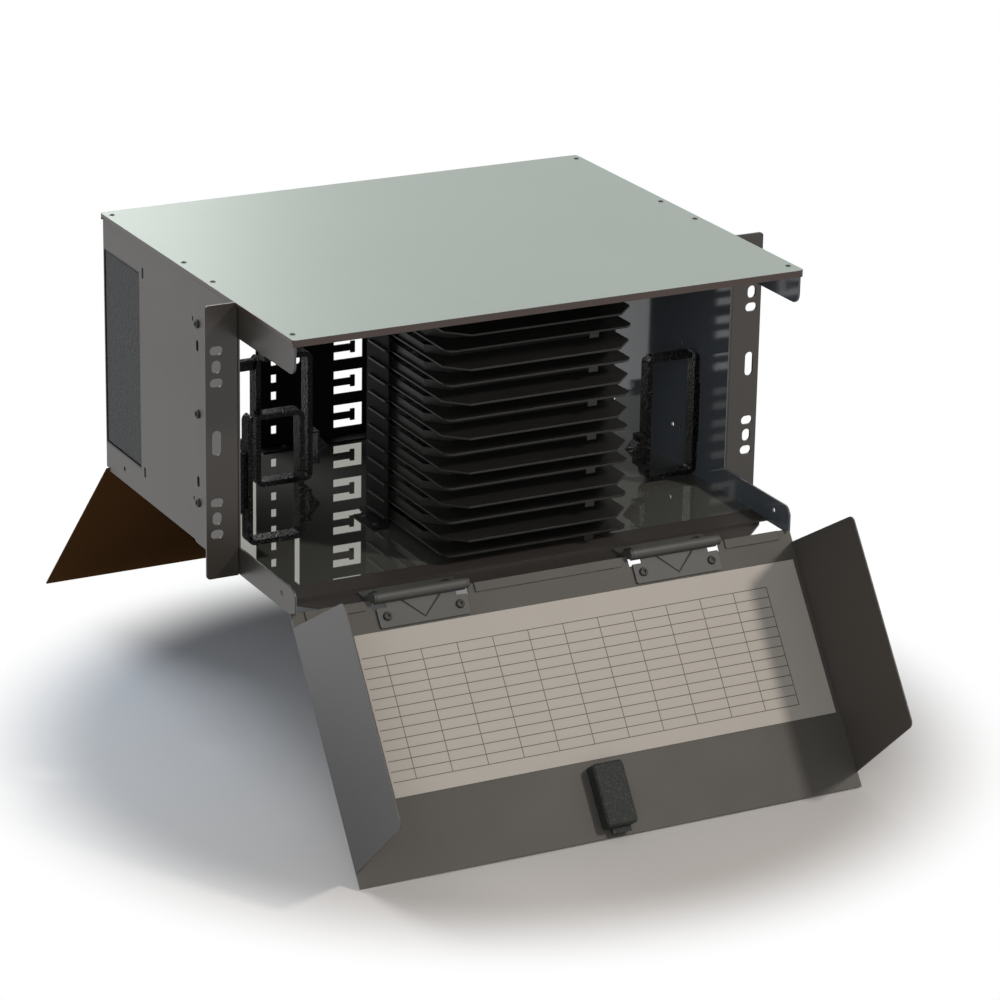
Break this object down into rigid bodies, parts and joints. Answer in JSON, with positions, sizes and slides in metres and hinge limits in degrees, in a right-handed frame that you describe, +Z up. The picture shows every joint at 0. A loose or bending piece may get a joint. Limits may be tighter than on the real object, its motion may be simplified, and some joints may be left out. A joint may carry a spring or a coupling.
{
  "type": "fibre splice box",
  "caption": "Rack-mounted fibre splice enclosure with drop-down front and rear doors, a stack of sliding splice trays, cable rings and a lanced tie panel.",
  "frame": {"origin": "centre of the rack hole pattern, on the front face of the ears", "axes": "+X across the rack to the right, +Y from the front towards the back, +Z up"},
  "size_m": [0.4826, 0.6937, 0.3885],
  "materials": {
    "cover_paint": "satin powder coat",
    "case_paint": "satin powder coat",
    "door_paint": "satin powder coat",
    "hinge_paint": "satin powder coat",
    "zinc_plate": "dark zinc plate",
    "spring_steel": "bright",
    "tray_plastic": "moulded, fine texture",
    "black_plastic": "moulded, glossy",
    "foam": "open-cell foam",
    "label_card": "printed card"
  },
  "bodies": {
    "chassis": {"cable_ring_left_front": "black_plastic", "cable_ring_left_rear": "black_plastic", "cable_ring_right": "black_plastic", "chassis_floor": "case_paint", "cover_screws": "zinc_plate", "ear_screws": "zinc_plate", "frame_rivets": "zinc_plate", "front_bracket_screws": "zinc_plate", "front_hinge_bracket_left": "hinge_paint", "front_hinge_bracket_right": "hinge_paint", "front_hinge_pins": "zinc_plate", "left_entry_foam": "foam", "left_entry_frame": "black_plastic", "left_rack_ear": "case_paint", "left_side_wall": "case_paint", "rear_bracket_screws": "zinc_plate", "rear_hinge_bracket_left": "hinge_paint", "rear_hinge_bracket_right": "hinge_paint", "rear_hinge_pins": "zinc_plate", "rear_tie_panel": "case_paint", "right_entry_foam": "foam", "right_entry_frame": "black_plastic", "right_rack_ear": "case_paint", "right_side_wall": "case_paint", "top_cover": "cover_paint", "tray_holder_back": "case_paint", "tray_holder_left": "case_paint", "tray_holder_right": "case_paint"},
    "front_door": {"front_door": "door_paint", "front_door_label": "label_card", "front_hinge_leaf_left": "hinge_paint", "front_hinge_leaf_right": "hinge_paint", "front_hinge_screws": "zinc_plate", "front_latch_case": "black_plastic", "front_latch_spring": "spring_steel"},
    "front_latch_slide": {"front_latch_slide": "black_plastic"},
    "rear_door": {"rear_door": "door_paint", "rear_hinge_leaf_left": "hinge_paint", "rear_hinge_leaf_right": "hinge_paint", "rear_hinge_screws": "zinc_plate", "rear_latch_case": "black_plastic", "rear_latch_spring": "spring_steel"},
    "rear_latch_slide": {"rear_latch_slide": "black_plastic"},
    "splice_tray_01": {"splice_tray_01": "tray_plastic"},
    "splice_tray_02": {"splice_tray_02": "tray_plastic"},
    "splice_tray_03": {"splice_tray_03": "tray_plastic"},
    "splice_tray_04": {"splice_tray_04": "tray_plastic"},
    "splice_tray_05": {"splice_tray_05": "tray_plastic"},
    "splice_tray_06": {"splice_tray_06": "tray_plastic"},
    "splice_tray_07": {"splice_tray_07": "tray_plastic"},
    "splice_tray_08": {"splice_tray_08": "tray_plastic"},
    "splice_tray_09": {"splice_tray_09": "tray_plastic"},
    "splice_tray_10": {"splice_tray_10": "tray_plastic"},
    "splice_tray_11": {"splice_tray_11": "tray_plastic"},
    "splice_tray_12": {"splice_tray_12": "tray_plastic"},
    "splice_tray_13": {"splice_tray_13": "tray_plastic"},
    "splice_tray_14": {"splice_tray_14": "tray_plastic"},
    "splice_tray_15": {"splice_tray_15": "tray_plastic"}
  },
  "joints": [
    {"name": "front_door_hinge", "type": "hinge", "parent": "chassis", "child": "front_door", "pos_m": [0, -0.0999, -0.10335], "axis": [-1, 0, 0], "range_deg": [0, 144.57]},
    {"name": "front_latch", "type": "slide", "parent": "front_door", "child": "front_latch_slide", "axis": [0, -0.5797, -0.8148], "range_m": [-0.006, 0], "stiffness_N_per_m": 200, "springref_m": 0.004},
    {"name": "rear_door_hinge", "type": "hinge", "parent": "chassis", "child": "rear_door", "pos_m": [0, 0.2636, -0.10335], "axis": [1, 0, 0], "range_deg": [0, 136.6]},
    {"name": "rear_latch", "type": "slide", "parent": "rear_door", "child": "rear_latch_slide", "axis": [0, 0.6871, -0.7266], "range_m": [-0.006, 0], "stiffness_N_per_m": 200, "springref_m": 0.004},
    {"name": "splice_tray_01_slide", "type": "slide", "parent": "chassis", "child": "splice_tray_01", "axis": [0, 1, 0], "range_m": [-0.03, 0]},
    {"name": "splice_tray_02_slide", "type": "slide", "parent": "chassis", "child": "splice_tray_02", "axis": [0, 1, 0], "range_m": [-0.03, 0]},
    {"name": "splice_tray_03_slide", "type": "slide", "parent": "chassis", "child": "splice_tray_03", "axis": [0, 1, 0], "range_m": [-0.03, 0]},
    {"name": "splice_tray_04_slide", "type": "slide", "parent": "chassis", "child": "splice_tray_04", "axis": [0, 1, 0], "range_m": [-0.03, 0]},
    {"name": "splice_tray_05_slide", "type": "slide", "parent": "chassis", "child": "splice_tray_05", "axis": [0, 1, 0], "range_m": [-0.03, 0]},
    {"name": "splice_tray_06_slide", "type": "slide", "parent": "chassis", "child": "splice_tray_06", "axis": [0, 1, 0], "range_m": [-0.03, 0]},
    {"name": "splice_tray_07_slide", "type": "slide", "parent": "chassis", "child": "splice_tray_07", "axis": [0, 1, 0], "range_m": [-0.03, 0]},
    {"name": "splice_tray_08_slide", "type": "slide", "parent": "chassis", "child": "splice_tray_08", "axis": [0, 1, 0], "range_m": [-0.03, 0]},
    {"name": "splice_tray_09_slide", "type": "slide", "parent": "chassis", "child": "splice_tray_09", "axis": [0, 1, 0], "range_m": [-0.03, 0]},
    {"name": "splice_tray_10_slide", "type": "slide", "parent": "chassis", "child": "splice_tray_10", "axis": [0, 1, 0], "range_m": [-0.03, 0]},
    {"name": "splice_tray_11_slide", "type": "slide", "parent": "chassis", "child": "splice_tray_11", "axis": [0, 1, 0], "range_m": [-0.03, 0]},
    {"name": "splice_tray_12_slide", "type": "slide", "parent": "chassis", "child": "splice_tray_12", "axis": [0, 1, 0], "range_m": [-0.03, 0]},
    {"name": "splice_tray_13_slide", "type": "slide", "parent": "chassis", "child": "splice_tray_13", "axis": [0, 1, 0], "range_m": [-0.03, 0]},
    {"name": "splice_tray_14_slide", "type": "slide", "parent": "chassis", "child": "splice_tray_14", "axis": [0, 1, 0], "range_m": [-0.03, 0]},
    {"name": "splice_tray_15_slide", "type": "slide", "parent": "chassis", "child": "splice_tray_15", "axis": [0, 1, 0], "range_m": [-0.03, 0]}
  ]
}
